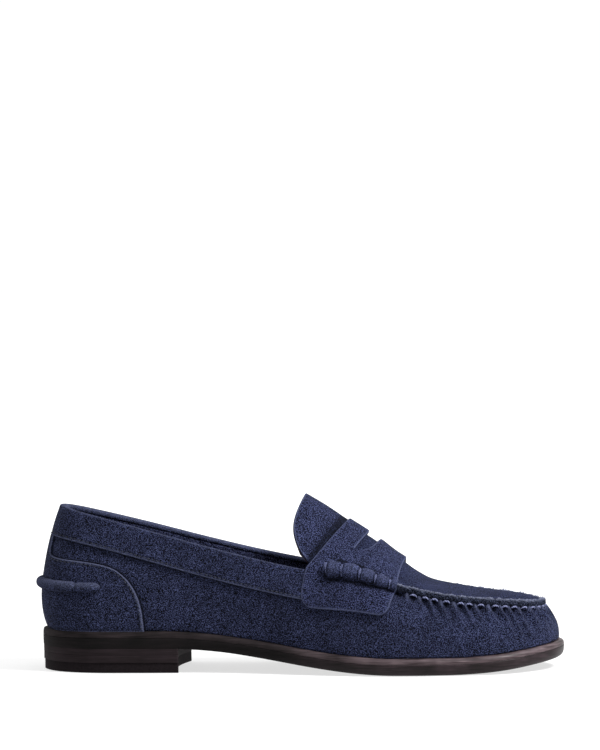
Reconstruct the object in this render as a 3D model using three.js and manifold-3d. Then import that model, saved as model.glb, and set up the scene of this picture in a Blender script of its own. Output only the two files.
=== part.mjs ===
// A right-foot penny loafer with a low stacked heel. Millimetres, +X to the toe, +Z up, +Y to the medial
// side.
import * as THREE from 'three';
import { mergeVertices } from 'three/addons/utils/BufferGeometryUtils.js';
import Module from 'manifold-3d';

const wasm = await Module();
wasm.setup();

// ---- driving dimensions ----
const heelHeight = 12;            // under the outsole at the heel
const toeSpring = 5.7;            // lift of the outsole's tip
const breast = 3.72;              // station where the heel ends
const outsoleThick = 5;
const soleThick = 8.5;            // outsole and welt together, up to the feather line
const featherInset = 2.3;         // how far the upper stands inside the sole edge
const heelTuck = 1.8;             // how much further inside it stands at the back of the heel
const gap = 0.35;                 // clearance between touching pieces
const suede = 1.4;                // thickness of the wall and the apron
const shellInner = 3.9;           // from the wall's outer face to the lining's inner face
const liningThick = 1;
const strapThick = 2;
const overlay = 1.45;             // outer face of the collar band and the foxing above the wall
const collarDrop = 15.2;          // height of the collar band
const rollRadius = 2.8;           // how far the heel roll stands out
const seamRadius = 1.9;           // half the thickness of the pinched seam
const tongueThick = 1.3;
const nailRadius = 1.4;

// Stations from the heel's back (0) to the toe (13). Sole edge: x, lateral y, medial y.
// Top edge (topline, then apron seam): x, lateral y, medial y, z.
// Wall fullness: belly out, belly rise, shoulder out, shoulder drop (rise and drop as parts of the height).
const stations = [
  [-1.3, 0, 0, 9.6, 0, 0, 82.2, 7.1, 0.2, 8.6, 0.39],
  [7, -19, 19, 13.8, -10.5, 10.5, 81, 5.2, 0.21, 8.2, 0.39],
  [25, -28.5, 28, 26, -16.5, 16.5, 77.8, 3.2, 0.24, 7.5, 0.4],
  [50, -29.5, 29, 51, -21, 20.5, 71.4, 2.2, 0.28, 5.5, 0.4],
  [78, -29, 28.5, 80, -24, 23.5, 63.6, 1.5, 0.3, 4, 0.4],
  [107, -32, 29.5, 107, -27, 25.5, 57, 1.5, 0.3, 4, 0.38],
  [137, -40, 34.5, 134, -30, 28, 51.5, 1.5, 0.32, 5.5, 0.35],
  [162, -45, 41, 157, -33, 31, 48.6, 1.2, 0.36, 7, 0.32],
  [187, -46.2, 44, 180, -34, 33, 41, 0.8, 0.4, 8, 0.3],
  [212, -42, 40.5, 203, -33, 32, 36, 0.8, 0.4, 7.5, 0.3],
  [232, -36, 35.5, 223, -28.5, 29, 33.6, 0.8, 0.4, 6.5, 0.32],
  [246.5, -24.5, 27, 238.8, -19.5, 22, 31.8, 0.6, 0.38, 5.5, 0.34],
  [256.2, -12, 16.5, 246.2, -9.5, 13, 31, 0.5, 0.37, 5.9, 0.35],
  [259.5, 2.5, 2.5, 248.8, 2, 2, 30.9, 0.4, 0.36, 6.3, 0.35],
];
const toe = stations.length - 1;
const around = 2 * toe;

// Height of the apron over the shoe's middle, by x.
const crownLine = [
  [148, 74.8], [156, 70.2], [164, 64.7], [172, 58.6], [180, 52.9], [187, 47.9], [194, 43.9],
  [203, 41.7], [213, 39.9], [223, 38.3], [233, 37.3], [242, 35.9], [247, 34], [250.2, 31],
];

// Half extent of the back foxing in stations, by height.
const foxingOutline = [
  [21, 3.12], [33, 3.05], [42, 2.9], [48.5, 2.68], [52.5, 2.4], [54.6, 1.95], [55.6, 1.35],
  [56.6, 0.85], [58.4, 0.6], [66.4, 0.53],
];

// ---- lines and surfaces of the shoe ----
const full = (pick) => {
  const points = [];
  for (let i = 0; i < around; i += 1) {
    points.push(pick(stations[Math.min(i, around - i)], i <= toe));
  }
  return new THREE.CatmullRomCurve3(points, true, 'catmullrom', 0.5);
};
const soleEdge = full((s, lateral) => new THREE.Vector3(s[0], lateral ? s[1] : s[2], 0));
const topEdge = full((s, lateral) => new THREE.Vector3(s[3], lateral ? s[4] : s[5], s[6]));
const belly = full((s) => new THREE.Vector3(s[7], s[8], 0));
const shoulder = full((s) => new THREE.Vector3(s[9], s[10], 0));
const at = (curve, i) => curve.getPoint((((i % around) + around) % around) / around);

const clamp01 = (x) => Math.min(1, Math.max(0, x));
const smooth = (x) => clamp01(x) ** 2 * (3 - 2 * clamp01(x));

// Underside of the outsole: level at the heel, down through the waist, then up to the toe's spring.
function soleLift(x) {
  const waist = heelHeight * (1 - smooth((x - 62) / 116));
  return waist + toeSpring * clamp01((x - 205) / 54.5) ** 1.9;
}

// A smooth curve through knots [x, value], read at x.
function through(knots, x) {
  const last = knots.length - 1;
  let k = knots.findIndex((knot) => x < knot[0]) - 1;
  if (k < 0) k = x < knots[0][0] ? 0 : last - 1;
  const slope = (j) => {
    const a = knots[Math.max(j - 1, 0)];
    const b = knots[Math.min(j + 1, last)];
    return (b[1] - a[1]) / (b[0] - a[0]);
  };
  const span = knots[k + 1][0] - knots[k][0];
  const s = clamp01((x - knots[k][0]) / span);
  const h00 = 2 * s ** 3 - 3 * s ** 2 + 1;
  const h10 = s ** 3 - 2 * s ** 2 + s;
  const h11 = s ** 3 - s ** 2;
  return h00 * knots[k][1] + (1 - h00) * knots[k + 1][1] + span * (h10 * slope(k) + h11 * slope(k + 1));
}

// Outward direction in plan at a station.
function outward(i) {
  const along = at(soleEdge, i + 0.02).sub(at(soleEdge, i - 0.02)).normalize();
  return new THREE.Vector3(along.y, -along.x, 0);
}

// How far the feather line stands inside the sole edge: most at station 0, fading out by station 1.4.
function insetAt(i) {
  const station = ((i % around) + around) % around;
  return featherInset + heelTuck * (1 - smooth(Math.min(station, around - station) / 1.4));
}

// Outer face of the moccasin wall: a Bezier curve from the feather line (v 0) to the top edge (v 1).
function wall(i, v) {
  const out = outward(i);
  const foot = at(soleEdge, i).addScaledVector(out, -insetAt(i));
  foot.z = soleLift(at(soleEdge, i).x) + soleThick;
  const top = at(topEdge, i);
  const height = top.z - foot.z;
  const low = at(belly, i);
  const high = at(shoulder, i);
  const c1 = foot.clone().addScaledVector(out, low.x).setZ(foot.z + height * low.y);
  const c2 = top.clone().addScaledVector(out, high.x).setZ(top.z - height * high.y);
  return new THREE.CubicBezierCurve3(foot, c1, c2, top).getPoint(v);
}

// The wall's v at a given height.
function wallAt(i, z) {
  let low = 0;
  let high = 1;
  for (let n = 0; n < 20; n += 1) {
    const middle = (low + high) / 2;
    if (wall(i, middle).z < z) low = middle;
    else high = middle;
  }
  return low;
}

// Outer face of the apron: rows bowed towards the toe, arched between the two seams.
function apronFace(t, b) {
  const mix = (b + 1) / 2;
  const point = at(topEdge, t).lerp(at(topEdge, around - t), mix);
  const bow = 18 * (1 - clamp01((t - 6) / 6)) ** 2;
  const side = Math.abs(b);
  const middle = at(topEdge, t).lerp(at(topEdge, around - t), 0.5);
  const rise = through(crownLine, middle.x + bow) - middle.z;
  point.x += bow * (1 - side ** 1.7);
  point.z += rise * (1 - side ** (1.8 + 0.1 * (t - 6)));
  return point;
}

// The apron and both walls as one face: c within -1 and 1 is the apron, and beyond it comes the wall, which
// reaches v = 0 at 2.
function overFace(t, c) {
  if (Math.abs(c) <= 1) return apronFace(t, c);
  return wall(c < 0 ? t : around - t, 2 - Math.abs(c));
}

const cross = (a, b) => new THREE.Vector3().crossVectors(a, b).normalize();

// Unit normal of a face, by small steps.
function normalOf(face, a, b, stepA, stepB) {
  const da = face(a + stepA, b).sub(face(a - stepA, b));
  const db = face(a, b + stepB).sub(face(a, b - stepB));
  return cross(da, db);
}

const wallNormal = (i, v) => normalOf(wall, i, THREE.MathUtils.clamp(v, 0.01, 0.99), 0.02, 0.01);
const overNormal = (t, c) => normalOf(overFace, t, c, 0.02, 0.02);

const wallPoint = (i, v, lift) => wall(i, v).addScaledVector(wallNormal(i, v), lift);
const overPoint = (t, c, lift) => overFace(t, c).addScaledVector(overNormal(t, c), lift);

// ---- solids ----
function steps(from, to, count) {
  return Array.from({ length: count + 1 }, (_, k) => from + ((to - from) * k) / count);
}

// Closes and orients a list of triangles, each three points.
function closed(triangles) {
  const geometry = new THREE.BufferGeometry();
  const numbers = triangles.flatMap((triangle) => triangle.flatMap((p) => [p.x, p.y, p.z]));
  geometry.setAttribute('position', new THREE.Float32BufferAttribute(numbers, 3));
  const merged = mergeVertices(geometry, 1e-4);
  const index = Array.from(merged.index.array);
  const kept = [];
  let volume = 0;
  for (let k = 0; k < index.length; k += 3) {
    const [a, b, c] = index.slice(k, k + 3);
    if (a !== b && b !== c && c !== a) {
      kept.push(a, b, c);
      const corner = (n) => new THREE.Vector3().fromBufferAttribute(merged.attributes.position, n);
      const [p, q, r] = [a, b, c].map(corner);
      volume += p.dot(q.cross(r));
    }
  }
  merged.setIndex(volume < 0 ? kept.reverse() : kept);
  return merged;
}

// A sheet over a grid: skin(column, row) gives its outer and its inner point. A ring joins its last column to
// its first, and keep(column, row) leaves holes, by cell.
function sheet(columns, rows, skin, { ring = false, keep = () => true } = {}) {
  const width = columns.length - (ring ? 0 : 1);
  const height = rows.length - 1;
  const grid = columns.map((column) => rows.map((row) => skin(column, row)));
  const there = (c, r) => {
    const column = ring ? (c + width) % width : c;
    return column >= 0 && column < width && r >= 0 && r < height && keep(column, r);
  };
  const triangles = [];
  const quad = (a, b, c, d) => triangles.push([a, b, c], [a, c, d]);
  for (let c = 0; c < width; c += 1) {
    for (let r = 0; r < height; r += 1) {
      if (there(c, r)) {
        const [a, b] = [grid[c], grid[(c + 1) % columns.length]];
        quad(a[r][0], b[r][0], b[r + 1][0], a[r + 1][0]);
        quad(a[r + 1][1], b[r + 1][1], b[r][1], a[r][1]);
        if (!there(c, r - 1)) quad(a[r][1], b[r][1], b[r][0], a[r][0]);
        if (!there(c, r + 1)) quad(a[r + 1][0], b[r + 1][0], b[r + 1][1], a[r + 1][1]);
        if (!there(c - 1, r)) quad(a[r][0], a[r + 1][0], a[r + 1][1], a[r][1]);
        if (!there(c + 1, r)) quad(b[r + 1][0], b[r][0], b[r][1], b[r + 1][1]);
      }
    }
  }
  return closed(triangles);
}

// A level layer of the bottom between two stations: inset from the sole edge, its faces as heights over x.
function slab({ from = 0, to = toe, inset = 0, count = 36, top, bottom }) {
  const skin = (t, b) => {
    const ends = [t, around - t].map((i) => at(soleEdge, i).addScaledVector(outward(i), -inset));
    const place = ends[0].lerp(ends[1], (b + 1) / 2);
    return [place.clone().setZ(top(place.x)), place.clone().setZ(bottom(place.x))];
  };
  return sheet(steps(from, to, count), [-1, 0, 1], skin);
}

const over = (height) => (x) => soleLift(x) + height;
const flat = (height) => () => height;

// A sheet on the wall between stations and v values, its faces as lifts from the wall's outer face.
function wallSheet({ from, to, low, high, outer, inner, count, rows = 4 }) {
  const skin = (i, s) => {
    const v = THREE.MathUtils.lerp(low(i), high(i), s);
    return [wallPoint(i, v, outer), wallPoint(i, v, inner)];
  };
  return sheet(steps(from, to, count), steps(0, 1, rows), skin);
}

const level = (v) => () => v;
const belowTop = (drop) => (i) => wallAt(i, at(topEdge, i).z - drop);

function toManifold(geometry) {
  geometry.deleteAttribute('normal');
  geometry.deleteAttribute('uv');
  const merged = mergeVertices(geometry, 1e-4);
  const mesh = new wasm.Mesh({
    numProp: 3,
    vertProperties: new Float32Array(merged.attributes.position.array),
    triVerts: new Uint32Array(merged.index.array),
  });
  return new wasm.Manifold(mesh);
}

function fromManifold(solid) {
  const mesh = solid.getMesh();
  const geometry = new THREE.BufferGeometry();
  geometry.setAttribute('position', new THREE.BufferAttribute(mesh.vertProperties, 3));
  geometry.setIndex(new THREE.BufferAttribute(mesh.triVerts, 1));
  return geometry;
}

const shoe = new THREE.Group();
function add(name, geometry, color, roughness, metalness = 0) {
  const mesh = new THREE.Mesh(geometry, new THREE.MeshStandardMaterial({ color, roughness, metalness }));
  mesh.name = name;
  shoe.add(mesh);
  return mesh;
}

const navy = 0x2a3050;
const soleBrown = 0x241c1c;
const liningBrown = 0x4a2420;
const board = 0x9c7a54;

// ---- bottom ----
function outsole() {
  return slab({ top: over(outsoleThick), bottom: over(0) });
}

// The welt is a ring that carries the upper's edge; filler and shank lie inside it.
function welt() {
  const skin = (i, inset) => {
    const place = at(soleEdge, i).addScaledVector(outward(i), -inset);
    const lift = soleLift(place.x);
    return [place.clone().setZ(lift + soleThick - gap), place.clone().setZ(lift + outsoleThick + gap)];
  };
  return sheet(steps(0, around, 72).slice(0, -1), [0, 6, 12], skin, { ring: true });
}

function bottomFiller() {
  return slab({
    from: 7.2, to: 12.2, inset: 12.6, count: 14, top: over(soleThick - gap), bottom: over(outsoleThick + gap),
  });
}

function shank() {
  const skin = (x, y) => [
    new THREE.Vector3(x, y, soleLift(x) + outsoleThick + 2.4),
    new THREE.Vector3(x, y, soleLift(x) + outsoleThick + 0.8),
  ];
  return sheet(steps(34, 148, 14), [-6, 6], skin);
}

function insoleLayer(bottom, thick, inset) {
  const low = soleThick + bottom;
  return slab({ from: 0.12, to: 12.88, inset, count: 32, top: over(low + thick), bottom: over(low) });
}

const heelLayer = (bottom, top, inset) => slab({
  to: breast, inset, count: 14, top: flat(top), bottom: flat(bottom),
});

// Heel nails sit in blind holes in the top piece, with their heads flush underneath.
const nailPlaces = [[11, 0], [22, -19], [22, 19], [50, -20], [50, 20]];
function nail(radius, length) {
  const geometry = new THREE.CylinderGeometry(radius, radius, length, 12);
  geometry.rotateX(Math.PI / 2);
  geometry.translate(0, 0, length / 2);
  return geometry;
}

function heelTopPiece(bottom, top) {
  let solid = toManifold(heelLayer(bottom, top, 0.8));
  for (const [x, y] of nailPlaces) {
    const hole = nail(nailRadius + gap, 4);
    hole.translate(x, y, -0.5);
    solid = solid.subtract(toManifold(hole));
  }
  return fromManifold(solid);
}

function buildBottom() {
  const lifts = [5.6, 8.6, heelHeight];
  add('outsole', outsole(), soleBrown, 0.45);
  add('welt', welt(), soleBrown, 0.4);
  add('bottom_filler', bottomFiller(), board, 0.9);
  add('shank', shank(), 0x8c8f94, 0.35, 1);
  add('insole_board', insoleLayer(0.3, 1.9, 7.2), board, 0.85);
  add('footbed_foam', insoleLayer(2.55, 2.2, 7.2), 0xd8cfa8, 0.95);
  add('sock_lining', insoleLayer(5.1, 1.1, 7), liningBrown, 0.6);
  add('heel_lift_upper', heelLayer(lifts[1] + gap, lifts[2] - gap, 0.4), soleBrown, 0.5);
  add('heel_lift_lower', heelLayer(lifts[0] + gap, lifts[1], 0.5), soleBrown, 0.5);
  add('heel_top_piece', heelTopPiece(0, lifts[0]), 0x1c1a1b, 0.7);
  nailPlaces.forEach(([x, y], k) => {
    const piece = add(`heel_nail_${k + 1}`, nail(nailRadius, 3), 0xa08a5a, 0.35, 1);
    piece.position.set(x, y, 0.1);
  });
}

// ---- upper ----
// Distance-based trim of the apron's rows, so its edges stay clear of the seam ridge.
const apronEdge = (t, trim) => 1 - trim / (at(topEdge, t).distanceTo(at(topEdge, around - t)) / 2);

function apronSheet(from, to, trim, outer, inner) {
  const skin = (t, s) => {
    const b = s * apronEdge(t, trim);
    return [overPoint(t, b, outer), overPoint(t, b, inner)];
  };
  return sheet(steps(from, to, 14), steps(-1, 1, 10), skin);
}

function seamRidge() {
  const points = steps(8.2, around - 8.2, 40).map((i) => at(topEdge, i).addScaledVector(outward(i), 0.6));
  points.forEach((point) => { point.z += 1.3; });
  const section = new THREE.Shape().absarc(0, 0, seamRadius, 0, 2 * Math.PI);
  const geometry = new THREE.ExtrudeGeometry(section, {
    steps: 52, curveSegments: 3, extrudePath: new THREE.CatmullRomCurve3(points),
  });
  geometry.deleteAttribute('normal');
  geometry.deleteAttribute('uv');
  return mergeVertices(geometry, 1e-4);
}

// The strap's edges as stations over c: the rear edge leans back on the walls, the front edge is bowed.
const strapEnd = 1.46;
const strapRear = (c) => 6 - 0.13 * clamp01((Math.abs(c) - 1) / (strapEnd - 1));
function strapFront(c) {
  const side = Math.abs(c);
  return side < 1 ? 7.6 + 0.36 * side ** 2 : 7.96 - 0.3 * ((side - 1) / (strapEnd - 1));
}
const strapRows = [0, 0.12, 0.24, 0.36, 0.53, 0.68, 0.84, 1];
const strapColumns = [-1.46, -1.34, -1.22, -1.1, -1, -0.88, -0.76, -0.65, -0.55, -0.37, -0.18, 0];
const slotRow = 3;
const slotHalf = 0.55;

function strapPoint(c, row, lift) {
  return overPoint(THREE.MathUtils.lerp(strapRear(c), strapFront(c), row), c, lift);
}

function saddleStrap() {
  const columns = [...strapColumns, ...strapColumns.slice(0, -1).reverse().map((c) => -c)];
  const skin = (c, row) => [strapPoint(c, row, gap + strapThick), strapPoint(c, row, gap)];
  const beside = (column) => columns[column] < -slotHalf || columns[column + 1] > slotHalf;
  const keep = (column, row) => row !== slotRow || beside(column);
  return sheet(columns, strapRows, skin, { keep });
}

// A roll lying on the strap over the seam, full in the middle and thin at its edges and ends.
function beefRoll(side) {
  const base = gap + strapThick + gap;
  const skin = (t, s) => {
    const end = Math.min(1, 0.35 + 6 * Math.min(t - 6.4, 7.9 - t));
    const lift = base + 0.4 + 3.4 * end * Math.sqrt(1 - s ** 2);
    const c = side * (1 - 0.1 * s);
    return [overPoint(t, c, lift), overPoint(t, c, base)];
  };
  return sheet(steps(6.4, 7.9, 10), [-1, -0.75, 0, 0.75, 1], skin);
}

function collarBand() {
  return wallSheet({
    from: -5.8, to: 5.8, low: belowTop(collarDrop), high: level(1), outer: overlay, inner: gap, count: 48,
    rows: 3,
  });
}

function backFoxing() {
  const skin = (s, z) => {
    const i = s * through(foxingOutline, z);
    const v = wallAt(i, z);
    return [wallPoint(i, v, overlay), wallPoint(i, v, gap + 0.15)];
  };
  const heights = foxingOutline.flatMap(([z], k) => (k ? [(z + foxingOutline[k - 1][0]) / 2, z] : [z]));
  return sheet(steps(-1, 1, 26), heights, skin);
}

function heelRoll() {
  const base = overlay + gap;
  const skin = (i, s) => {
    const end = Math.min(1, 0.3 + 2.5 * (2.25 - Math.abs(i)));
    const lift = base + 0.4 + (rollRadius - 0.4) * end * Math.sqrt(1 - s ** 2);
    const v = wallAt(i, 43.2 - 0.5 * Math.abs(i) + 2.9 * s);
    return [wallPoint(i, v, lift), wallPoint(i, v, base)];
  };
  return sheet(steps(-2.25, 2.25, 20), [-1, -0.75, 0, 0.75, 1], skin);
}

function buildUpper() {
  const lining = { outer: liningThick - shellInner, inner: -shellInner };
  const stiffener = { outer: -suede - gap, inner: -2.55 };
  const mocTop = (i) => (Math.abs(i - toe) < toe - 6 ? 1 - 3 / 38 : 1);
  add('moccasin_wall', wallSheet({
    from: 0.02, to: around - 0.02, low: level(0.02), high: mocTop, outer: 0, inner: -suede, count: 104,
    rows: 7,
  }), navy, 0.95);
  add('heel_counter', wallSheet({
    from: -3.4, to: 3.4, low: level(0.03), high: level(0.6), ...stiffener, count: 26, rows: 5,
  }), board, 0.8);
  add('toe_puff', wallSheet({
    from: 10.2, to: around - 10.2, low: level(0.05), high: level(0.8), ...stiffener, count: 24,
  }), board, 0.8);
  add('quarter_lining', wallSheet({
    from: -6, to: 6, low: level(0.05), high: belowTop(15), ...lining, count: 44,
  }), liningBrown, 0.55);
  add('collar_facing', wallSheet({
    from: -5.8, to: 5.8, low: belowTop(14.5), high: level(1), ...lining, count: 44, rows: 2,
  }), navy, 0.95);
  add('vamp_lining', wallSheet({
    from: 6.1, to: around - 6.1, low: level(0.06), high: level(0.8), ...lining, count: 48,
  }), liningBrown, 0.6);
  add('apron', apronSheet(6, 11.95, 3, 0, -suede), navy, 0.95);
  add('apron_lining', apronSheet(6.05, 11.7, 8, -suede - 2 * gap, -3), liningBrown, 0.6);
  add('seam_ridge', seamRidge(), navy, 0.95);
  add('saddle_strap', saddleStrap(), navy, 0.95);
  add('beef_roll_lateral', beefRoll(-1), navy, 0.95);
  add('beef_roll_medial', beefRoll(1), navy, 0.95);
  add('collar_band', collarBand(), navy, 0.95);
  add('back_foxing', backFoxing(), navy, 0.95);
  add('heel_roll', heelRoll(), navy, 0.95);
}

// ---- tongue ----
// From just behind the strap's rear edge up to the free edge, arched over the instep.
function tongueFace(a, b) {
  const front = apronFace(6, 0.93 * b).add(new THREE.Vector3(-2, 0, 1.2));
  const side = Math.abs(b);
  const free = new THREE.Vector3(131 + 0.4 * b ** 2 - 4.2 * Math.sin(Math.PI * b ** 2), 0, 0);
  free.y = 27 * b - 1;
  free.z = 87.4 - tongueThick - 27.3 * side ** 1.88;
  return front.lerp(free, a);
}

function tongueSheet(outer, inner) {
  const skin = (b, a) => {
    const normal = normalOf(tongueFace, a, b, 0.02, 0.02);
    if (normal.z < 0) normal.negate();
    return [tongueFace(a, b).addScaledVector(normal, outer), tongueFace(a, b).addScaledVector(normal, inner)];
  };
  return sheet(steps(-1, 1, 14), steps(0, 1, 4), skin);
}

function buildTongue() {
  add('tongue', tongueSheet(tongueThick, 0), navy, 0.95);
  add('tongue_lining', tongueSheet(-gap, -gap - 0.9), liningBrown, 0.6);
}

buildBottom();
buildUpper();
buildTongue();

// The origin is the middle of the box's bottom, on the ground.
const box = new THREE.Box3().setFromObject(shoe, true);
const middle = box.getCenter(new THREE.Vector3());
shoe.position.set(-middle.x, -middle.y, -box.min.z);
const group = new THREE.Group();
group.add(shoe);

export default group;
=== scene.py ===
# A navy suede penny loafer, right foot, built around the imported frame. Shapes are worked out in millimetres
# on the shoe's own lines (x from the heel's back, y to the medial side) and put into the frame in metres.
import math
import bmesh
import bpy
import numpy as np
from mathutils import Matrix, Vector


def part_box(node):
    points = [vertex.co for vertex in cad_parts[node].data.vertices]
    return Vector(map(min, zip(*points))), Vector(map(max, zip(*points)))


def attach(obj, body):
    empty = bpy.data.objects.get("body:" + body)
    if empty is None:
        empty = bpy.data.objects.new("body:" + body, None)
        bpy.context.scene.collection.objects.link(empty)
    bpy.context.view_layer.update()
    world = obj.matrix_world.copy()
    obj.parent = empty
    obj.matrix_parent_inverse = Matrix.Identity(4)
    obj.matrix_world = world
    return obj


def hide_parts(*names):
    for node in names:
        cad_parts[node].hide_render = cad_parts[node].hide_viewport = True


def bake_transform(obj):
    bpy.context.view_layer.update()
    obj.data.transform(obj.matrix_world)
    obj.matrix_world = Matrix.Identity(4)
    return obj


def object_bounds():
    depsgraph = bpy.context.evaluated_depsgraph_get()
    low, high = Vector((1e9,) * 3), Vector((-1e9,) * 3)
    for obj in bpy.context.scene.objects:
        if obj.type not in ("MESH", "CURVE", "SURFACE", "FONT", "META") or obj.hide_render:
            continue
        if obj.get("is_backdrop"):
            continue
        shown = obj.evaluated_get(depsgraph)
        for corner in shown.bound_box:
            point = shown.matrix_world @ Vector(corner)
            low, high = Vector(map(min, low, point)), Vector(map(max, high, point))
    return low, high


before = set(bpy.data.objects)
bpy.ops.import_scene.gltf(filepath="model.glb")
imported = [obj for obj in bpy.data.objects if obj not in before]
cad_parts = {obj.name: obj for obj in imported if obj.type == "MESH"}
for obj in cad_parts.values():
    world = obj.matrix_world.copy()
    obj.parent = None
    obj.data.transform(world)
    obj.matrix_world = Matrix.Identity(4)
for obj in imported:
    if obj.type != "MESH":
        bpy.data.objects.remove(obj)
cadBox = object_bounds()
print("frame loaded")

# Stations from the heel's back to the toe. Sole edge: x, lateral y, medial y. Top edge: x, lateral y,
# medial y, z. Wall fullness: belly out, belly rise, shoulder out, shoulder drop.
stations = np.array([
    [-1.3, 0, 0, 9.6, 0, 0, 82.2, 7.1, 0.2, 8.6, 0.39],
    [7, -19, 19, 13.8, -10.5, 10.5, 81, 5.2, 0.21, 8.2, 0.39],
    [25, -28.5, 28, 26, -16.5, 16.5, 77.8, 3.2, 0.24, 7.5, 0.4],
    [50, -29.5, 29, 51, -21, 20.5, 71.4, 2.2, 0.28, 5.5, 0.4],
    [78, -29, 28.5, 80, -24, 23.5, 63.6, 1.5, 0.3, 4, 0.4],
    [107, -32, 29.5, 107, -27, 25.5, 57, 1.5, 0.3, 4, 0.38],
    [137, -40, 34.5, 134, -30, 28, 51.5, 1.5, 0.32, 5.5, 0.35],
    [162, -45, 41, 157, -33, 31, 48.6, 1.2, 0.36, 7, 0.32],
    [187, -46.2, 44, 180, -34, 33, 41, 0.8, 0.4, 8, 0.3],
    [212, -42, 40.5, 203, -33, 32, 36, 0.8, 0.4, 7.5, 0.3],
    [232, -36, 35.5, 223, -28.5, 29, 33.6, 0.8, 0.4, 6.5, 0.32],
    [246.5, -24.5, 27, 238.8, -19.5, 22, 31.8, 0.6, 0.38, 5.5, 0.34],
    [256.2, -12, 16.5, 246.2, -9.5, 13, 31, 0.5, 0.37, 5.9, 0.35],
    [259.5, 2.5, 2.5, 248.8, 2, 2, 30.9, 0.4, 0.36, 6.3, 0.35],
])
halfTurn = len(stations) - 1
turn = 2 * halfTurn
crownLine = [
    (148, 74.8), (156, 70.2), (164, 64.7), (172, 58.6), (180, 52.9), (187, 47.9), (194, 43.9),
    (203, 41.7), (213, 39.9), (223, 38.3), (233, 37.3), (242, 35.9), (247, 34), (250.2, 31),
]
sole = {
    "heelHeight": 12, "waistFrom": 62, "waistLong": 116,
    "toeSpring": 5.7, "springFrom": 205, "springLong": 54.5, "springPower": 1.9,
    "thick": 8.5,      # outsole and welt together
    "inset": 2.3,      # from the sole's edge in to the wall's foot
    "tuck": 1.8,       # more inset at the heel's back
    "breast": 3.72,    # station of the heel's front corners
}
apronLook = {"first": 6.0, "last": 12.75, "bow": 18, "thick": 1.4}

ringOrder = np.minimum(np.arange(turn), turn - np.arange(turn))
lateralSide = np.arange(turn) <= halfTurn
sideY = lambda column: np.where(lateralSide, stations[ringOrder, column], stations[ringOrder, column + 1])
soleRing = np.stack([stations[ringOrder, 0], sideY(1), np.zeros(turn)], 1)
topRing = np.stack([stations[ringOrder, 3], sideY(4), stations[ringOrder, 6]], 1)
fullness = stations[ringOrder, 7:11]

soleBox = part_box("outsole")
samples = np.linspace(0, turn, 400)


def onRing(ring, i):
    # Catmull-Rom: each point is a cubic mix of the four nearest stations, with the ring closed on itself.
    k = np.floor(i).astype(int)
    f = (i - k)[..., None]
    a, b, c, d = (ring[(k + n) % turn] for n in (-1, 0, 1, 2))
    return b + 0.5 * f * (c - a + f * (2 * a - 5 * b + 4 * c - d + f * (3 * (b - c) + d - a)))


edgeY = onRing(soleRing, samples)[:, 1]
shift = np.array([
    soleBox[1].x * 1000 - stations[-1, 0],
    (soleBox[0].y + soleBox[1].y) * 500 - (edgeY.min() + edgeY.max()) / 2,
    0,
])


def held(x):
    return np.clip(x, 0, 1)


def smoothStep(x):
    x = held(x)
    return x * x * (3 - 2 * x)


def hump(x):
    # A bell curve: 1 at zero, a third at 1 and almost nothing at 2.
    return np.exp(-x ** 2)


def soleLift(x):
    # Level under the heel, an S-curve down through the waist, then a power curve up to the toe's spring.
    waist = sole["heelHeight"] * (1 - smoothStep((x - sole["waistFrom"]) / sole["waistLong"]))
    spring = held((x - sole["springFrom"]) / sole["springLong"]) ** sole["springPower"]
    return waist + sole["toeSpring"] * spring


def through(knots, x):
    # Cubic Hermite through the knots, each slope taken from its two neighbours.
    xs, ys = np.array(knots, float).T
    slope = (np.r_[ys[1:], ys[-1]] - np.r_[ys[0], ys[:-1]]) / (np.r_[xs[1:], xs[-1]] - np.r_[xs[0], xs[:-1]])
    k = np.clip(np.searchsorted(xs, x, "right") - 1, 0, len(xs) - 2)
    span = xs[k + 1] - xs[k]
    s = held((x - xs[k]) / span)
    h = 2 * s ** 3 - 3 * s ** 2 + 1
    return (h * ys[k] + (1 - h) * ys[k + 1]
            + span * ((s ** 3 - 2 * s ** 2 + s) * slope[k] + (s ** 3 - s ** 2) * slope[k + 1]))


def unit(v):
    return v / np.linalg.norm(v, axis=-1, keepdims=True)


def outward(i):
    # Level, and square to the sole's edge.
    along = onRing(soleRing, i + 0.02) - onRing(soleRing, i - 0.02)
    return unit(np.stack([along[..., 1], -along[..., 0], np.zeros_like(i)], -1))


def wall(i, v):
    # A cubic Bezier in v from the feather line to the top edge, its two handles pushed outward in plan.
    i, v = np.broadcast_arrays(np.asarray(i, float), np.asarray(v, float))
    out = outward(i)
    edge = onRing(soleRing, i)
    back = 1 - smoothStep(np.abs((i + halfTurn) % turn - halfTurn) / 1.4)
    foot = edge - out * (sole["inset"] + sole["tuck"] * back)[..., None]
    foot[..., 2] = soleLift(edge[..., 0]) + sole["thick"]
    top = onRing(topRing, i)
    full = onRing(fullness, i)
    height = top[..., 2] - foot[..., 2]
    low = foot + out * full[..., 0:1]
    low[..., 2] = foot[..., 2] + height * full[..., 1]
    high = top + out * full[..., 2:3]
    high[..., 2] = top[..., 2] - height * full[..., 3]
    v = v[..., None]
    return (1 - v) ** 3 * foot + 3 * (1 - v) ** 2 * v * low + 3 * (1 - v) * v ** 2 * high + v ** 3 * top


def wallAt(i, z):
    # The v where the wall reaches height z, by halving.
    i, z = np.broadcast_arrays(np.asarray(i, float), np.asarray(z, float))
    low, high = np.zeros(i.shape), np.ones(i.shape)
    for halving in range(16):
        middle = (low + high) / 2
        under = wall(i, middle)[..., 2] < z
        low, high = np.where(under, middle, low), np.where(under, high, middle)
    return low


def topHeight(i):
    return onRing(topRing, np.asarray(i, float))[..., 2]


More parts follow.
